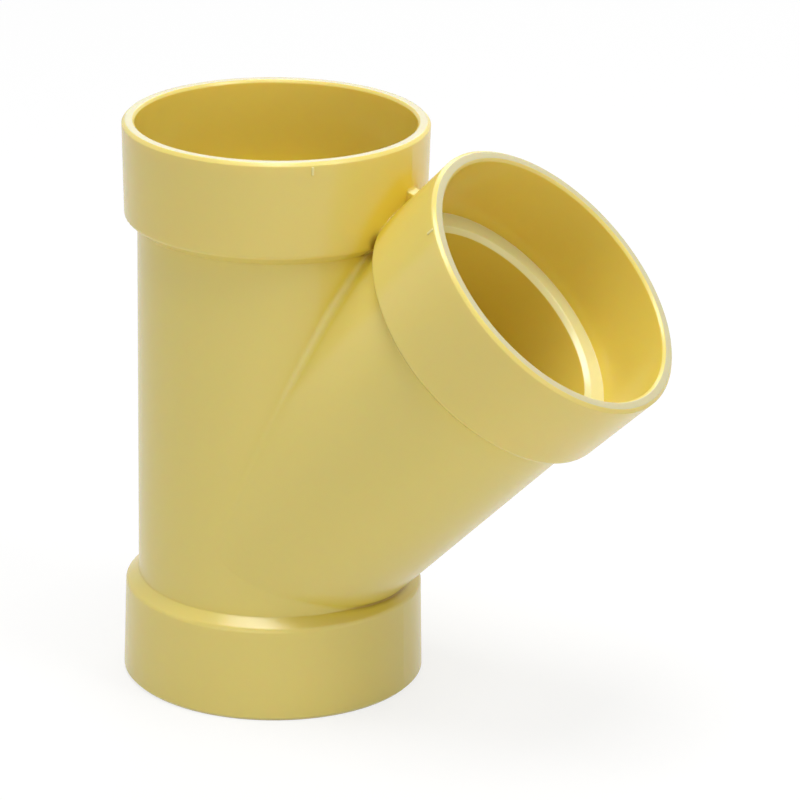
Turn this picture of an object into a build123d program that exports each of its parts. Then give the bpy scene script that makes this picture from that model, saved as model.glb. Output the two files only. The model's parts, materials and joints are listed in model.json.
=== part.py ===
"""Lateral wye fitting: a 45 degree drain branch for 60 mm pipe, moulded in one piece.

The run stands upright on its lower socket mouth. The branch leaves it at 45 degrees towards
+X and ends in a socket of the same size. The origin is the centre of the lower socket mouth,
and the XZ plane is the plane of symmetry. All sizes are in millimetres.
"""

import os
from math import cos, radians, sin

from build123d import *

# Pipe ends
SOCKET_RADIUS = 30.2  # a 60.3 pipe slides in, with room for solvent cement
SOCKET_DEPTH = 19.4  # mouth to stop shoulder
WATERWAY_RADIUS = 25.6  # clear way through the run and the branch

# Layout of the two axes
RUN_LENGTH = 125.5  # lower mouth to upper mouth
CROSSING_HEIGHT = 33.8  # where the branch axis leaves the run axis
BRANCH_LENGTH = 95.0  # crossing to the branch mouth
BRANCH_ANGLE = 45.0  # between the run axis and the branch axis

# Outer walls
RUN_BARREL_RADIUS = 29.7
BRANCH_BARREL_RADIUS = 29.5  # a touch under the run's, so that the crease is one closed curve
COLLAR_RIM_RADIUS = 33.0
COLLAR_ROOT_RADIUS = 32.5  # at the edge of the shoulder, where the draft of the mould ends
COLLAR_LENGTH = 20.8  # rim to the edge of the shoulder
SHOULDER_LENGTH = 2.3  # edge of the shoulder to the barrel

# Edges
RIM_CHAMFER = 0.7  # outer edge of a mouth
LIP_WIDTH = 0.5  # sloping inner edge of a mouth, which leads the pipe in
LIP_DEPTH = 0.6
STOP_CHAMFER = 1.0  # leads the stop shoulder into the waterway
SHOULDER_ROUND = 1.1
CREASE_FILLET = 1.8  # where the branch barrel leaves the run barrel

# Gate stub that the mould leaves in the notch between the two upper collars
GATE_RADIUS = 1.9
GATE_DISTANCE = 87.6  # crossing to the top of the stub
GATE_LENGTH = 5.0
GATE_ROUND = 0.8

OVERSHOOT = 2.0  # how far a cutter runs past a mouth


def direction(angle: float) -> Vector:
    """The unit vector in the plane of symmetry that leans this many degrees from +Z to +X."""
    return Vector(sin(radians(angle)), 0, cos(radians(angle)))


def section_through(mouth: Plane) -> Plane:
    """The plane of a tube's half section: local x is the radius, local y leaves the mouth."""
    return Plane(mouth.origin, x_dir=mouth.x_dir, z_dir=mouth.x_dir.cross(mouth.z_dir))


# The mouths' planes face out of their sockets. The crossing plane faces along the branch.
crossing = Plane((0, 0, CROSSING_HEIGHT), x_dir=direction(BRANCH_ANGLE + 90),
                 z_dir=direction(BRANCH_ANGLE))
branch_mouth = crossing.offset(BRANCH_LENGTH)
lower_mouth = Plane((0, 0, 0), x_dir=(1, 0, 0), z_dir=(0, 0, -1))
upper_mouth = Plane((0, 0, RUN_LENGTH), x_dir=(1, 0, 0), z_dir=(0, 0, 1))
bore_lengths = [
    (lower_mouth, CROSSING_HEIGHT),
    (upper_mouth, RUN_LENGTH - CROSSING_HEIGHT),
    (branch_mouth, BRANCH_LENGTH),
]

with BuildPart() as wye_fitting:
    # The two barrels, still solid, meet at a mitred crease that the fillet softens.
    with BuildSketch(Plane.XY.offset(COLLAR_LENGTH / 2)):
        Circle(RUN_BARREL_RADIUS)
    extrude(amount=RUN_LENGTH - COLLAR_LENGTH)
    with BuildSketch(crossing):
        Circle(BRANCH_BARREL_RADIUS)
    extrude(amount=BRANCH_LENGTH - COLLAR_LENGTH / 2)
    fillet(edges(Select.NEW), CREASE_FILLET)

    # A collar round each socket: a drafted side, and a shoulder that slopes to the barrel.
    for mouth, _ in bore_lengths:
        with BuildSketch(section_through(mouth)) as collar_section:
            root = (BRANCH_BARREL_RADIUS, -COLLAR_LENGTH - SHOULDER_LENGTH)
            edge = (COLLAR_ROOT_RADIUS, -COLLAR_LENGTH)
            rim = (COLLAR_RIM_RADIUS, 0)
            with BuildLine():
                Polyline((0, 0), rim, edge, root, (0, root[1]), close=True)
            make_face()
            chamfer(collar_section.vertices().sort_by_distance(rim)[0], RIM_CHAMFER)
            fillet(collar_section.vertices().sort_by_distance(edge)[0], SHOULDER_ROUND)
        revolve(axis=Axis(mouth.origin, mouth.z_dir))

    # The gate stub stands in the notch, on the line that halves the branch angle.
    gate_top = crossing.origin + direction(BRANCH_ANGLE / 2) * GATE_DISTANCE
    with BuildSketch(Plane(gate_top, z_dir=direction(BRANCH_ANGLE / 2))):
        Circle(GATE_RADIUS)
    extrude(amount=-GATE_LENGTH)
    fillet(edges().sort_by_distance(gate_top)[0], GATE_ROUND)

    # Each socket ends at a stop shoulder, and the waterways run on to the crossing.
    for mouth, bore_length in bore_lengths:
        with BuildSketch(section_through(mouth)) as bore_section:
            stop = (WATERWAY_RADIUS, -SOCKET_DEPTH)
            with BuildLine():
                Polyline(
                    (0, OVERSHOOT),
                    (COLLAR_RIM_RADIUS, OVERSHOOT),
                    (COLLAR_RIM_RADIUS, 0),
                    (SOCKET_RADIUS + LIP_WIDTH, 0),
                    (SOCKET_RADIUS, -LIP_DEPTH),
                    (SOCKET_RADIUS, -SOCKET_DEPTH),
                    stop,
                    (WATERWAY_RADIUS, -bore_length),
                    (0, -bore_length),
                    close=True,
                )
            make_face()
            chamfer(bore_section.vertices().sort_by_distance(stop)[0], STOP_CHAMFER)
        revolve(axis=Axis(mouth.origin, mouth.z_dir), mode=Mode.SUBTRACT)

wye_fitting.part.label = "wye_fitting"

os.makedirs("parts", exist_ok=True)
export_step(wye_fitting.part, "parts/wye_fitting.step")
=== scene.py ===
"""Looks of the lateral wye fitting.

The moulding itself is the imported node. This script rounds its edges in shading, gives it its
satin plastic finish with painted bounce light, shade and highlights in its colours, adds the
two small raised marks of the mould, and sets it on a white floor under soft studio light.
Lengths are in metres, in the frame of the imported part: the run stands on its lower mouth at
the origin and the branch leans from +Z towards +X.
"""

import json
import logging
import math
from dataclasses import dataclass
from enum import Enum

import bmesh
import bpy
from mathutils import Matrix, Vector


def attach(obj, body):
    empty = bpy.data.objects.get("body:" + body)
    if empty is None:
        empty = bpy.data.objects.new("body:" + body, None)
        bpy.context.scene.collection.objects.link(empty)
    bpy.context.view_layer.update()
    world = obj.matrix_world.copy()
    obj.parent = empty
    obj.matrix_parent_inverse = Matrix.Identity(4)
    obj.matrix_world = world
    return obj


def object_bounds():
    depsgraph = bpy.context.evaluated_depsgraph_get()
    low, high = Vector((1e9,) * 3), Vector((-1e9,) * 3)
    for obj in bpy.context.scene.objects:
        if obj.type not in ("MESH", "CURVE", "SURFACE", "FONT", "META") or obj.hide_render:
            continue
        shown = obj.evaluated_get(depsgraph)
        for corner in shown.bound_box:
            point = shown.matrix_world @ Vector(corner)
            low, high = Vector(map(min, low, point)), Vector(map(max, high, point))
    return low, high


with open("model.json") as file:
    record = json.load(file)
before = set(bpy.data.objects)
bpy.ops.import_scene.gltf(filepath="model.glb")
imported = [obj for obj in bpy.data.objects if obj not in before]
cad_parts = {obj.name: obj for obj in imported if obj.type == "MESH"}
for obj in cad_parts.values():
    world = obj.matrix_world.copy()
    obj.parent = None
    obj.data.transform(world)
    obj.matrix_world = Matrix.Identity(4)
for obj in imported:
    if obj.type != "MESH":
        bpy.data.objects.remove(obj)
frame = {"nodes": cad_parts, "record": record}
cad_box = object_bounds()

LOG = logging.getLogger("wye_fitting")

NODE = "wye_fitting"
BODY = "root"

Colour = tuple[float, float, float]
Span = tuple[float, float]
Socket = bpy.types.NodeSocket

WHITE = (1.0, 1.0, 1.0, 1.0)
MOUNT_TO_RIM = 0.010  # how far inside its rim each socket's mount lies
SHADE_SAMPLES = 8  # rays that find the corners and round the edges at each point
RIPPLE_PER_GRAIN = 0.12  # the ripple's scale, as a share of the grain's
RIPPLE_HEIGHT = 2.5  # the ripple's height, in heights of the grain


class Mouth(Enum):
    """The three socket mouths, by the names of their mounts."""

    LOWER = "lower_socket"
    UPPER = "upper_socket"
    BRANCH = "branch_socket"

    def mount(self) -> dict:
        """The mouth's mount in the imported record."""
        mounts = frame["record"]["mounts"]
        return next(mount for mount in mounts if mount["name"] == self.value)

    def axis(self) -> Vector:
        """The direction that faces out of the mouth."""
        return Vector(self.mount()["axis"])

    def centre(self) -> Vector:
        """The centre of the mouth, in the plane of its rim."""
        return Vector(self.mount()["pos_m"]) + self.axis() * MOUNT_TO_RIM


# ---------------------------------------------------------------- shader helpers


class NodeSheet:
    """A small wrapper that adds and links nodes in one node tree."""

    def __init__(self, tree: bpy.types.NodeTree) -> None:
        """Keep the tree of a material, a world or a group that the nodes go into."""
        self.tree = tree

    def add(self, kind: str, **settings: object) -> bpy.types.Node:
        """Add a node and set its properties and input values.

        Args:
            kind: The node's type, such as "ShaderNodeTexNoise".
            **settings: Properties by name, or input defaults by socket name with spaces
                written as underscores.

        Returns:
            The new node.
        """
        node = self.tree.nodes.new(kind)
        for name, value in settings.items():
            if hasattr(node, name):
                setattr(node, name, value)
            else:
                node.inputs[name.replace("_", " ")].default_value = value
        return node

    def link(self, source: Socket, target: Socket) -> None:
        """Link an output to an input."""
        self.tree.links.new(source, target)

    def join(self, operation: str, values: list[Socket]) -> Socket:
        """Join values, one after another, with one operation.

        Args:
            operation: "MULTIPLY" where all must hold, "MAXIMUM" where any will do.
            values: The values to join.

        Returns:
            The joined value.
        """
        total = values[0]
        for value in values[1:]:
            step = self.add("ShaderNodeMath", operation=operation)
            self.link(total, step.inputs[0])
            self.link(value, step.inputs[1])
            total = step.outputs[0]
        return total

    def below(self, value: Socket, limit: float) -> Socket:
        """Tell where a value is low.

        Args:
            value: The value to test.
            limit: The limit it has to stay under.

        Returns:
            A value of 1 where it does and 0 elsewhere.
        """
        test = self.add("ShaderNodeMath", operation="LESS_THAN")
        test.inputs[1].default_value = limit
        self.link(value, test.inputs[0])
        return test.outputs[0]

    def ramp(self, value: Socket, ends: Span) -> Socket:
        """Turn a value into a mask that climbs smoothly.

        Args:
            value: The value to follow.
            ends: Where the mask is still 0 and where it has reached 1, in either order.

        Returns:
            The mask.
        """
        climb = self.add("ShaderNodeMapRange", interpolation_type="SMOOTHSTEP",
                         From_Min=ends[0], From_Max=ends[1])
        self.link(value, climb.inputs["Value"])
        return climb.outputs["Result"]

    def vector_math(self, operation: str, first: Socket, second: Socket | Vector | None = None,
                    result: str = "Vector") -> Socket:
        """Work on one or two vectors.

        Args:
            operation: The name of the operation, such as "DOT_PRODUCT".
            first: The first vector.
            second: The other one, which may be fixed, where the operation takes two.
            result: "Vector", or "Value" where the operation gives a number.

        Returns:
            What the operation gives.
        """
        node = self.add("ShaderNodeVectorMath", operation=operation)
        self.link(first, node.inputs[0])
        if isinstance(second, Vector):
            node.inputs[1].default_value = second
        elif second is not None:
            self.link(second, node.inputs[1])
        return node.outputs[result]

    def seen_directly(self) -> Socket:
        """Give 1 for camera, glossy and transmission rays and 0 for the rest."""
        rays = self.add("ShaderNodeLightPath")
        kinds = ("Is Camera Ray", "Is Glossy Ray", "Is Transmission Ray")
        return self.join("MAXIMUM", [rays.outputs[kind] for kind in kinds])


def fine_texture_group() -> bpy.types.NodeTree:
    """Build the group that gives moulded plastic its faint orange peel.

    Returns:
        A group with inputs Vector and Grain Scale, and the output Height for a bump.
    """
    group = bpy.data.node_groups.new("orange_peel", "ShaderNodeTree")
    interface = group.interface
    interface.new_socket("Vector", in_out="INPUT", socket_type="NodeSocketVector")
    interface.new_socket("Grain Scale", in_out="INPUT", socket_type="NodeSocketFloat")
    interface.new_socket("Height", in_out="OUTPUT", socket_type="NodeSocketFloat")
    sheet = NodeSheet(group)
    given = sheet.add("NodeGroupInput")
    result = sheet.add("NodeGroupOutput")
    grain = sheet.add("ShaderNodeTexNoise", Detail=2.0, Roughness=0.55)
    ripple = sheet.add("ShaderNodeTexNoise", Detail=1.0, Roughness=0.4)
    ripple_scale = sheet.add("ShaderNodeMath", operation="MULTIPLY")
    ripple_scale.inputs[1].default_value = RIPPLE_PER_GRAIN
    height = sheet.add("ShaderNodeMath", operation="MULTIPLY_ADD")
    height.inputs[1].default_value = RIPPLE_HEIGHT
    for noise in (grain, ripple):
        sheet.link(given.outputs["Vector"], noise.inputs["Vector"])
    sheet.link(given.outputs["Grain Scale"], grain.inputs["Scale"])
    sheet.link(given.outputs["Grain Scale"], ripple_scale.inputs[0])
    sheet.link(ripple_scale.outputs[0], ripple.inputs["Scale"])
    sheet.link(ripple.outputs["Fac"], height.inputs[0])
    sheet.link(grain.outputs["Fac"], height.inputs[2])
    sheet.link(height.outputs[0], result.inputs["Height"])
    return group


# ---------------------------------------------------------------- zones of the surface


class MouthProbe:
    """Nodes that tell how a point of the surface lies to one socket mouth.

    Attributes:
        height: How far the point lies outside the plane of the rim, along the axis.
        radius: How far it lies from the axis.
        square: How squarely the surface faces out of the mouth, from -1 to 1.
        spread: The radius times how squarely the surface faces away from the axis.
    """

    def __init__(self, sheet: NodeSheet, mouth: Mouth) -> None:
        """Add the nodes.

        Args:
            sheet: The material's nodes.
            mouth: The socket mouth.
        """
        place = sheet.add("ShaderNodeTexCoord")
        normal = place.outputs["Normal"]
        axis = mouth.axis()
        offset = sheet.vector_math("SUBTRACT", place.outputs["Object"], mouth.centre())
        along = sheet.vector_math("PROJECT", offset, axis)
        spoke = sheet.vector_math("SUBTRACT", offset, along)
        self.height = sheet.vector_math("DOT_PRODUCT", offset, axis, result="Value")
        self.radius = sheet.vector_math("LENGTH", spoke, result="Value")
        self.square = sheet.vector_math("DOT_PRODUCT", normal, axis, result="Value")
        self.spread = sheet.vector_math("DOT_PRODUCT", spoke, normal, result="Value")


@dataclass(frozen=True)
class FaceZone:
    """The faces that look out of the sockets, within a range of depths.

    Attributes:
        start: How far inside the rim the zone starts.
        end: How far inside the rim it ends.
        reach: How far from the axis it goes.
        square: How squarely a face looks along the axis where the mask starts and is full.
    """

    start: float
    end: float
    reach: float
    square: Span

    def mask(self, sheet: NodeSheet, probes: list[MouthProbe]) -> Socket:
        """Add nodes that mark the zone in all three sockets.

        Args:
            sheet: The material's nodes.
            probes: The three mouths' probes.

        Returns:
            A value from 0 on the walls to 1 on the faces.
        """
        marks = []
        for probe in probes:
            within = sheet.add("ShaderNodeMath", operation="COMPARE")
            within.inputs[1].default_value = -(self.start + self.end) / 2
            within.inputs[2].default_value = (self.end - self.start) / 2
            sheet.link(probe.height, within.inputs[0])
            marks.append(sheet.join("MULTIPLY", [
                sheet.ramp(probe.square, self.square),
                within.outputs[0],
                sheet.below(probe.radius, self.reach),
            ]))
        return sheet.join("MAXIMUM", marks)


@dataclass(frozen=True)
class BoreZone:
    """The walls of the sockets and waterways.

    Attributes:
        reach: How far from the axis the zone goes.
        spread: The most that a probe's spread may be there: on a wall that looks at the
            axis it is minus the radius.
    """

    reach: float
    spread: float

    def mask(self, sheet: NodeSheet, probes: list[MouthProbe]) -> Socket:
        """Add nodes that mark the zone in all three bores.

        Args:
            sheet: The material's nodes.
            probes: The three mouths' probes.

        Returns:
            A value of 1 on the walls of the bores and 0 elsewhere.
        """
        return sheet.join("MAXIMUM", [
            sheet.join("MULTIPLY", [
                sheet.below(probe.radius, self.reach),
                sheet.below(probe.spread, self.spread),
            ])
            for probe in probes
        ])


@dataclass(frozen=True)
class CornerZone:
    """The corners where the fitting's own walls come close to each other.

    Attributes:
        reach: How near a wall has to be to count.
        open_sky: The share of the sky left open where the mask starts and where it is full.
    """

    reach: float
    open_sky: Span

    def mask(self, sheet: NodeSheet) -> Socket:
        """Add nodes that mark the zone.

        Args:
            sheet: The material's nodes.

        Returns:
            A value from 0 in the open to 1 deep in a corner.
        """
        sky = sheet.add("ShaderNodeAmbientOcclusion", samples=SHADE_SAMPLES, only_local=True,
                        Distance=self.reach)
        return sheet.ramp(sky.outputs["AO"], self.open_sky)


# Painted highlight: a paler cream on the rim faces for the strong light they catch.
RIM_HIGHLIGHT_FACES = FaceZone(start=-0.010, end=0.010, reach=0.0328, square=(0.90, 0.97))
# Painted highlight: a paler cream on the stop faces for the light that falls into the sockets.
STOP_HIGHLIGHT_FACES = FaceZone(start=0.010, end=0.0206, reach=0.0312, square=(0.60, 0.69))
# Painted bounce light: a deeper orange on the walls of the bores.
BORE_WALLS = BoreZone(reach=0.0312, spread=-0.024)
# Painted bounce light and shade: a warmer tint where the walls see little open sky.
CORNER_BOUNCE_ZONE = CornerZone(reach=0.006, open_sky=(0.95, 0.55))
# Painted shade: dark brown in the tightest creases.
CREASE_SHADE_ZONE = CornerZone(reach=0.0023, open_sky=(0.80, 0.40))
CREASE_SHADE_RISE = (-0.016, -0.0208)  # heights over the upper rim where the painted shade in the creases sets in, going down
HALF = 0.5  # between a mask's off and on


# ---------------------------------------------------------------- finishes


@dataclass(frozen=True)
class MouldedPvc:
    """Pale custard-yellow PVC as it leaves the mould, satin with a faint orange peel.

    Attributes:
        name: The material's name.
        body: The outside.
        bore_bounce: Painted bounce light: a deeper orange on the walls of the sockets and
            waterways.
        corner_bounce: Painted bounce light and shade: a warmer tint where light goes from wall
            to wall.
        crease_shade: Painted shade in the tightest creases, outside the bores and below the
            upper collar.
        rim: Painted highlight: a paler cream on the flat faces of the rims for the light they
            catch.
        stop: Painted highlight: a pale cream on the stop shoulders, with their sloping edge.
        roughness: How far the shine spreads.
        refraction: The index of refraction.
        edge_round: The radius that shading gives the edges.
        glow_weight: How much of the light goes through the plastic before it leaves.
        glow_depth: How far red, green and blue go in it.
        grain_per_metre: The scale of the orange peel.
        bump: The strength of the orange peel.
        bump_distance: The height of the orange peel.
    """

    name: str = "custard_yellow_pvc"
    body: Colour = (0.765, 0.632, 0.163)
    bore_bounce: Colour = (0.800, 0.645, 0.122)
    corner_bounce: Colour = (0.755, 0.600, 0.075)
    crease_shade: Colour = (0.400, 0.240, 0.018)
    rim: Colour = (0.575, 0.530, 0.298)
    stop: Colour = (0.795, 0.745, 0.385)
    roughness: float = 0.24
    refraction: float = 1.56
    edge_round: float = 0.00045
    glow_weight: float = 0.4
    glow_depth: Colour = (0.0036, 0.0018, 0.0003)
    grain_per_metre: float = 1900.0
    bump: float = 0.045
    bump_distance: float = 0.0001

    def lay_colours(self, sheet: NodeSheet) -> Socket:
        """Add the nodes that lay each colour over the last: painted light and shade over the
        body.

        Args:
            sheet: The material's nodes.

        Returns:
            The colour of the surface.
        """
        probe_of = {mouth: MouthProbe(sheet, mouth) for mouth in Mouth}
        probes = list(probe_of.values())
        inside = BORE_WALLS.mask(sheet, probes)
        crease_shade_mask = sheet.join("MULTIPLY", [
            CREASE_SHADE_ZONE.mask(sheet),
            sheet.below(inside, HALF),
            sheet.ramp(probe_of[Mouth.UPPER].height, CREASE_SHADE_RISE),
        ])
        # Painted light over the body: bounce light, shade in creases, highlights on rims and
        # stops.
        layers = (
            (self.bore_bounce, inside),
            (self.corner_bounce, CORNER_BOUNCE_ZONE.mask(sheet)),
            (self.crease_shade, crease_shade_mask),
            (self.rim, RIM_HIGHLIGHT_FACES.mask(sheet, probes)),
            (self.stop, STOP_HIGHLIGHT_FACES.mask(sheet, probes)),
        )
        base = sheet.add("ShaderNodeRGB")
        base.outputs["Color"].default_value = (*self.body, 1.0)
        surface = base.outputs["Color"]
        for colour, mask in layers:
            layer = sheet.add("ShaderNodeMix", data_type="RGBA", B=(*colour, 1.0))
            sheet.link(mask, layer.inputs["Factor"])
            sheet.link(surface, layer.inputs["A"])
            surface = layer.outputs["Result"]
        return surface

    def shape_normals(self, sheet: NodeSheet, peel: bpy.types.NodeTree) -> Socket:
        """Add the nodes that round the edges and ripple the surface.

        Args:
            sheet: The material's nodes.
            peel: The shared group from fine_texture_group.

        Returns:
            The normal of the surface.
        """
        place = sheet.add("ShaderNodeTexCoord")
        texture = sheet.add("ShaderNodeGroup", node_tree=peel, Grain_Scale=self.grain_per_metre)
        bump = sheet.add("ShaderNodeBump", Strength=self.bump, Distance=self.bump_distance)
        edges = sheet.add("ShaderNodeBevel", samples=SHADE_SAMPLES, Radius=self.edge_round)
        sheet.link(place.outputs["Object"], texture.inputs["Vector"])
        sheet.link(texture.outputs["Height"], bump.inputs["Height"])
        sheet.link(edges.outputs["Normal"], bump.inputs["Normal"])
        return bump.outputs["Normal"]

    def build(self, peel: bpy.types.NodeTree) -> bpy.types.Material:
        """Build the material.

        Args:
            peel: The shared group from fine_texture_group.

        Returns:
            The finished material.
        """
        material = bpy.data.materials.new(self.name)
        material.use_nodes = True
        sheet = NodeSheet(material.node_tree)
        shader = material.node_tree.nodes["Principled BSDF"]
        shader.inputs["Roughness"].default_value = self.roughness
        shader.inputs["IOR"].default_value = self.refraction
        shader.inputs["Subsurface Weight"].default_value = self.glow_weight
        shader.inputs["Subsurface Radius"].default_value = self.glow_depth
        shader.inputs["Subsurface Scale"].default_value = 1.0
        sheet.link(self.lay_colours(sheet), shader.inputs["Base Color"])
        sheet.link(self.shape_normals(sheet, peel), shader.inputs["Normal"])
        return material


@dataclass(frozen=True)
class RibPvc:
    """The same plastic on marks too small for its inner glow to show."""

    name: str = "custard_yellow_pvc_rib"
    # Paler than the moulding's body: painted highlight for the light that the small ribs catch.
    body: Colour = (0.790, 0.700, 0.300)
    roughness: float = 0.35

    def build(self) -> bpy.types.Material:
        """Build the material.

        Returns:
            The finished material.
        """
        material = bpy.data.materials.new(self.name)
        material.use_nodes = True
        shader = material.node_tree.nodes["Principled BSDF"]
        shader.inputs["Base Color"].default_value = (*self.body, 1.0)
        shader.inputs["Roughness"].default_value = self.roughness
        return material


@dataclass(frozen=True)
class WhiteFloor:
    """The studio floor: matt white, and near pure white where the camera sees it unshaded.

    Attributes:
        name: The material's name.
        paper: What the floor sends back to the fitting.
        seen_paper: What the camera sees of it, which takes the fitting's shadow.
        seen_glow: The evenly white part that the camera sees over it.
    """

    name: str = "white_sweep"
    paper: Colour = (0.65, 0.65, 0.65)
    seen_paper: Colour = (0.22, 0.22, 0.22)
    seen_glow: float = 0.76

    def build(self) -> bpy.types.Material:
        """Build the material, with a glow that only camera and mirror rays see.

        Returns:
            The finished material.
        """
        material = bpy.data.materials.new(self.name)
        material.use_nodes = True
        tree = material.node_tree
        tree.nodes.clear()
        sheet = NodeSheet(tree)
        out = sheet.add("ShaderNodeOutputMaterial")
        plain = sheet.add("ShaderNodeBsdfDiffuse", Color=(*self.paper, 1.0))
        seen = sheet.add("ShaderNodeBsdfDiffuse", Color=(*self.seen_paper, 1.0))
        glow = sheet.add("ShaderNodeEmission", Strength=self.seen_glow)
        both = sheet.add("ShaderNodeAddShader")
        pick = sheet.add("ShaderNodeMixShader")
        sheet.link(seen.outputs[0], both.inputs[0])
        sheet.link(glow.outputs[0], both.inputs[1])
        sheet.link(sheet.seen_directly(), pick.inputs["Fac"])
        sheet.link(plain.outputs[0], pick.inputs[1])
        sheet.link(both.outputs[0], pick.inputs[2])
        sheet.link(pick.outputs[0], out.inputs["Surface"])
        return material


# ---------------------------------------------------------------- the moulding


@dataclass
class Moulding:
    """The one-piece fitting, dressed in place."""

    node: str = NODE

    def dress(self, finish: bpy.types.Material) -> bpy.types.Object:
        """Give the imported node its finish.

        Args:
            finish: The plastic's material.

        Returns:
            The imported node's object.
        """
        body = frame["nodes"][self.node]
        body.data.materials.clear()
        body.data.materials.append(finish)
        return body

    def collar_radius(self) -> float:
        """The radius of the collars' outside, which are the widest part from front to back."""
        return (cad_box[1][1] - cad_box[0][1]) / 2


@dataclass(frozen=True)
class WitnessRib:
    """A short raised rib that the mould leaves below a rim.

    Attributes:
        name: The piece's name.
        mouth: The socket whose collar it stands on.
        polar: The angle round the collar, from its +X side towards the back.
        drop: How far the rib's middle lies below the rim.
        width: Its size round the collar.
        length: Its size along the axis.
        height: How far it stands out of the collar.
        sink: How far it goes into the collar.
        rounding: How far its edges are cut back.
        round_steps: The number of faces across a rounded edge.
    """

    name: str
    mouth: Mouth
    polar: float
    drop: float = 0.0018
    width: float = 0.00055
    length: float = 0.0018
    height: float = 0.0002
    sink: float = 0.0003
    rounding: float = 0.00012
    round_steps: int = 3

    def frame_on_collar(self, collar_radius: float) -> Matrix:
        """Where the rib lies: x across it, y along the socket's axis, z out of the collar.

        Args:
            collar_radius: The radius of the collar's outside.

        Returns:
            The matrix that carries the rib from the origin to its place.
        """
        along = self.mouth.axis()
        side = Vector((0.0, 1.0, 0.0))
        lean = side.cross(along)
        outward = lean * math.cos(self.polar) + side * math.sin(self.polar)
        across = along.cross(outward)
        place = self.mouth.centre() - along * self.drop + outward * collar_radius
        return Matrix.Translation(place) @ Matrix((across, along, outward)).transposed().to_4x4()

    def build(self, collar_radius: float, finish: bpy.types.Material) -> bpy.types.Object:
        """Build the rib, lay it on its collar and fix it to the fitting.

        Args:
            collar_radius: The radius of the collar's outside.
            finish: The plastic's material.

        Returns:
            The rib's object.
        """
        shape = bmesh.new()
        bmesh.ops.create_cube(shape, size=1.0)
        bmesh.ops.scale(shape, verts=shape.verts,
                        vec=(self.width, self.length, self.height + self.sink))
        bmesh.ops.translate(shape, verts=shape.verts,
                            vec=(0.0, 0.0, (self.height - self.sink) / 2))
        bmesh.ops.bevel(shape, geom=list(shape.edges), offset=self.rounding, affect="EDGES",
                        segments=self.round_steps, profile=0.5, material=-1)
        bmesh.ops.transform(shape, verts=shape.verts, matrix=self.frame_on_collar(collar_radius))
        for face in shape.faces:
            face.smooth = True
        mesh = bpy.data.meshes.new(self.name)
        shape.to_mesh(mesh)
        shape.free()
        mesh.materials.append(finish)
        rib = bpy.data.objects.new(self.name, mesh)
        bpy.context.scene.collection.objects.link(rib)
        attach(rib, BODY)
        return rib


RIBS = (
    WitnessRib("upper_witness_rib", Mouth.UPPER, polar=math.radians(-47.0)),
    WitnessRib("branch_witness_rib", Mouth.BRANCH, polar=math.radians(-132.0)),
)


# ---------------------------------------------------------------- the studio


@dataclass(frozen=True)
class Softbox:
    """A flat rectangular lamp that faces the fitting."""

    name: str
    place: tuple[float, float, float]
    width: float
    height: float
    watts: float

    def hang(self, target: Vector) -> None:
        """Add the lamp to the scene.

        Args:
            target: The point that the lamp faces.
        """
        lamp = bpy.data.lights.new(self.name, "AREA")
        lamp.shape = "RECTANGLE"
        lamp.size = self.width
        lamp.size_y = self.height
        lamp.energy = self.watts
        softbox = bpy.data.objects.new(self.name, lamp)
        softbox.location = self.place
        aim = target - softbox.location
        softbox.rotation_euler = aim.to_track_quat("-Z", "Y").to_euler()
        bpy.context.scene.collection.objects.link(softbox)


SOFTBOXES = (
    Softbox("overhead", place=(0.0, -0.1, 1.3), width=0.7, height=0.6, watts=10.4),
    Softbox("branch_side", place=(0.80, -0.05, 1.15), width=0.4, height=0.4, watts=3.8),
    Softbox("behind", place=(-0.4, 1.4, 1.1), width=1.4, height=0.9, watts=8.5),
    Softbox("front", place=(0.25, -1.5, 0.2), width=1.8, height=0.9, watts=6.8),
    Softbox("right", place=(1.5, -0.1, 0.2), width=1.0, height=0.8, watts=2.4),
)


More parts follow.
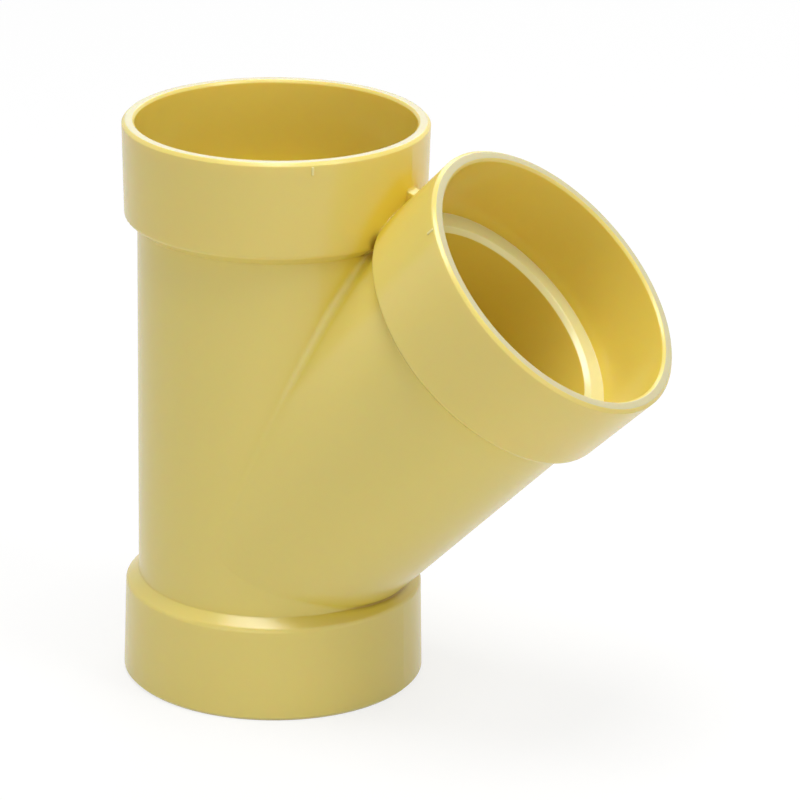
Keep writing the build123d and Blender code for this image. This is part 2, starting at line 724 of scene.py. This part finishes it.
@dataclass
class Studio:
    """Floor, light and camera.

    Attributes:
        floor_size: The length of the floor's sides.
        world_light: The strength of the pale room all round.
        seen_backdrop: The strength of what the camera sees of that room.
        lamps_right: How far towards the branch the lamps aim.
        azimuth: The camera's turn round the fitting, from the front towards the branch.
        elevation: Its turn up from the floor.
        roll: Its turn about its own line of sight.
        distance: How far it stands back.
        aim_height: The height that the camera and the lamps aim at.
        aim_right: How far to its own right the camera aims.
        sensor: The width of its sensor, in millimetres.
        lens: The length of its lens, in millimetres.
    """

    floor_size: float = 12.0
    world_light: float = 0.30
    seen_backdrop: float = 1.0
    lamps_right: float = 0.02
    azimuth: float = math.radians(28.0)
    elevation: float = math.radians(19.87)
    roll: float = math.radians(0.9)
    distance: float = 1.0
    aim_height: float = 0.06179
    aim_right: float = 0.02728
    sensor: float = 36.0
    lens: float = 206.7

    def lay_floor(self) -> bpy.types.Object:
        """Lay the white floor under the fitting.

        Returns:
            The floor's object.
        """
        mesh = bpy.data.meshes.new("floor")
        grid = bmesh.new()
        bmesh.ops.create_grid(grid, x_segments=1, y_segments=1, size=self.floor_size / 2)
        grid.to_mesh(mesh)
        grid.free()
        mesh.materials.append(WhiteFloor().build())
        floor = bpy.data.objects.new("floor", mesh)
        bpy.context.scene.collection.objects.link(floor)
        return floor

    def light(self) -> None:
        """Light the fitting with a pale room and the softboxes."""
        world = bpy.data.worlds.new("pale_room")
        bpy.context.scene.world = world
        world.use_nodes = True
        tree = world.node_tree
        tree.nodes.clear()
        sheet = NodeSheet(tree)
        out = sheet.add("ShaderNodeOutputWorld")
        room = sheet.add("ShaderNodeBackground", Color=WHITE, Strength=self.world_light)
        backdrop = sheet.add("ShaderNodeBackground", Color=WHITE, Strength=self.seen_backdrop)
        pick = sheet.add("ShaderNodeMixShader")
        sheet.link(sheet.seen_directly(), pick.inputs["Fac"])
        sheet.link(room.outputs[0], pick.inputs[1])
        sheet.link(backdrop.outputs[0], pick.inputs[2])
        sheet.link(pick.outputs[0], out.inputs["Surface"])
        for softbox in SOFTBOXES:
            softbox.hang(Vector((self.lamps_right, 0.0, self.aim_height)))

    def place_camera(self) -> bpy.types.Object:
        """Place the camera on its orbit round the fitting and make it the scene's own.

        Returns:
            The camera's object.
        """
        back = Vector((
            math.sin(self.azimuth) * math.cos(self.elevation),
            -math.cos(self.azimuth) * math.cos(self.elevation),
            math.sin(self.elevation),
        ))
        level_right = Vector((math.cos(self.azimuth), math.sin(self.azimuth), 0.0))
        level_up = back.cross(level_right)
        right = level_right * math.cos(self.roll) + level_up * math.sin(self.roll)
        up = back.cross(right)
        place = Vector((0.0, 0.0, self.aim_height)) + back * self.distance
        place += right * self.aim_right
        turn = Matrix((right, up, back)).transposed()
        data = bpy.data.cameras.new("studio_camera")
        data.sensor_width = self.sensor
        data.lens = self.lens
        camera = bpy.data.objects.new("studio_camera", data)
        camera.matrix_world = Matrix.Translation(place) @ turn.to_4x4()
        bpy.context.scene.collection.objects.link(camera)
        bpy.context.scene.camera = camera
        return camera


# ---------------------------------------------------------------- main


def main() -> None:
    """Dress the moulding, add its marks and set up the studio."""
    logging.basicConfig(level=logging.INFO, format="%(message)s")
    bpy.context.scene.view_settings.view_transform = "Standard"
    moulding = Moulding()
    body = moulding.dress(MouldedPvc().build(fine_texture_group()))
    LOG.info("moulding: %d faces", len(body.data.polygons))
    rib_plastic = RibPvc().build()
    for rib in RIBS:
        rib.build(moulding.collar_radius(), rib_plastic)
        LOG.info("%s on the %s", rib.name, rib.mouth.value)
    studio = Studio()
    studio.lay_floor()
    studio.light()
    studio.place_camera()
    LOG.info("studio: floor, softboxes and camera")


if __name__ == "__main__":
    main()
